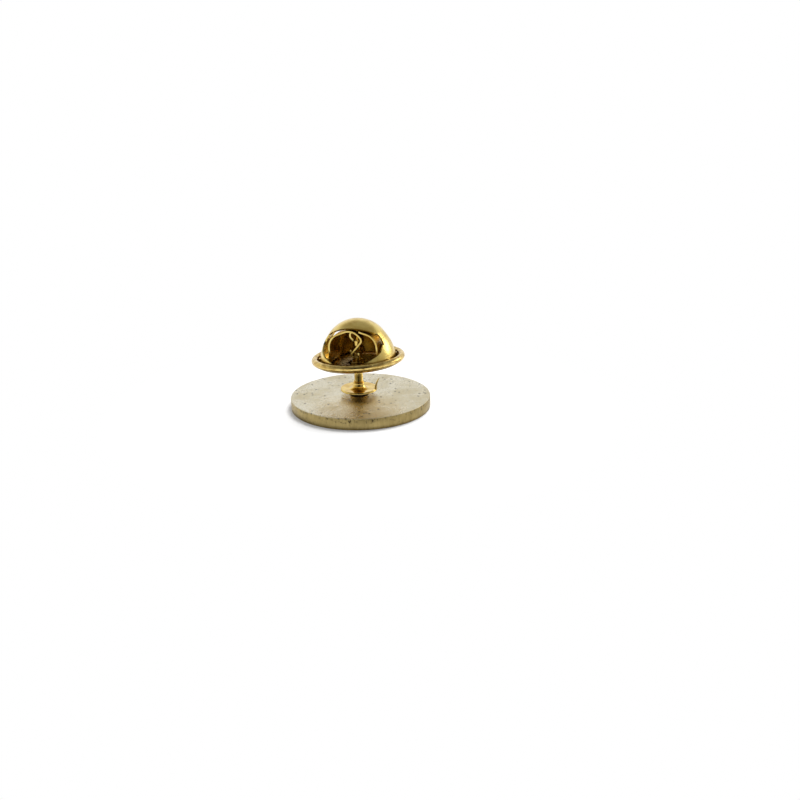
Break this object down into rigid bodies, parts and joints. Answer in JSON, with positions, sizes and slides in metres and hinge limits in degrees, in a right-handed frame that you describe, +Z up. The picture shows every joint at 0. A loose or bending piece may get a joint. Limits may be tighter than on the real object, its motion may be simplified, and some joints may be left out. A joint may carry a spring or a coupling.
{
  "type": "enamel lapel pin",
  "caption": "Round enamelled badge lying on its face, with a grooved post, a spurred washer and a butterfly clutch part-way down the post.",
  "frame": {"origin": "centre of the badge's front face, on the surface that the pin lies on", "axes": "+Z up along the post from the badge's front to its back, -Y towards the clutch's front window, +X to the right of it"},
  "size_m": [0.018, 0.018, 0.0115],
  "materials": {
    "struck_brass": "matt struck and blasted, pale gold",
    "polished_gilt": "polished gold plate",
    "clutch_gilt": "bright gold plate, slightly mottled",
    "spring_gilt": "satin to bright gold plate",
    "solder": "dull, stained solder",
    "enamel_white": "polished hard enamel",
    "enamel_red": "polished hard enamel",
    "enamel_blue": "polished hard enamel",
    "enamel_green": "polished hard enamel"
  },
  "bodies": {
    "badge": {"badge_body": "struck_brass", "enamel_centre": "enamel_white", "enamel_petals": "enamel_red", "enamel_ground": "enamel_blue", "enamel_border": "enamel_green", "solder_joint": "solder", "post": "polished_gilt", "spur_washer": "polished_gilt"},
    "eyelet": {"clutch_eyelet": "clutch_gilt"},
    "clutch": {"clutch_cup": "clutch_gilt", "spring_crown": "spring_gilt"},
    "wing_left": {"spring_wing_left": "spring_gilt"},
    "wing_right": {"spring_wing_right": "spring_gilt"}
  },
  "joints": [
    {"name": "clutch_slide", "type": "slide", "parent": "badge", "child": "eyelet", "axis": [0, 0, 1], "range_m": [-0.0013, 0.005]},
    {"name": "clutch_spin", "type": "hinge", "parent": "eyelet", "child": "clutch", "pos_m": [-0.0002, 0.0005, 0.00695], "axis": [-0.0483, 0.0527, 0.9974], "continuous": true},
    {"name": "pinch_left", "type": "hinge", "parent": "clutch", "child": "wing_left", "pos_m": [-0.00355, 0.00166, 0.00884], "axis": [-0.3099, -0.9501, 0.0352], "range_deg": [0, 5], "stiffness_Nm_per_rad": 0.00004},
    {"name": "pinch_right", "type": "hinge", "parent": "clutch", "child": "wing_right", "pos_m": [0.00294, -0.00044, 0.00927], "axis": [0.3099, 0.9501, -0.0352], "range_deg": [0, 5], "stiffness_Nm_per_rad": 0.00004}
  ],
  "couplings": [
    {"joint": "pinch_right", "follows": "pinch_left", "ratio": 1}
  ]
}
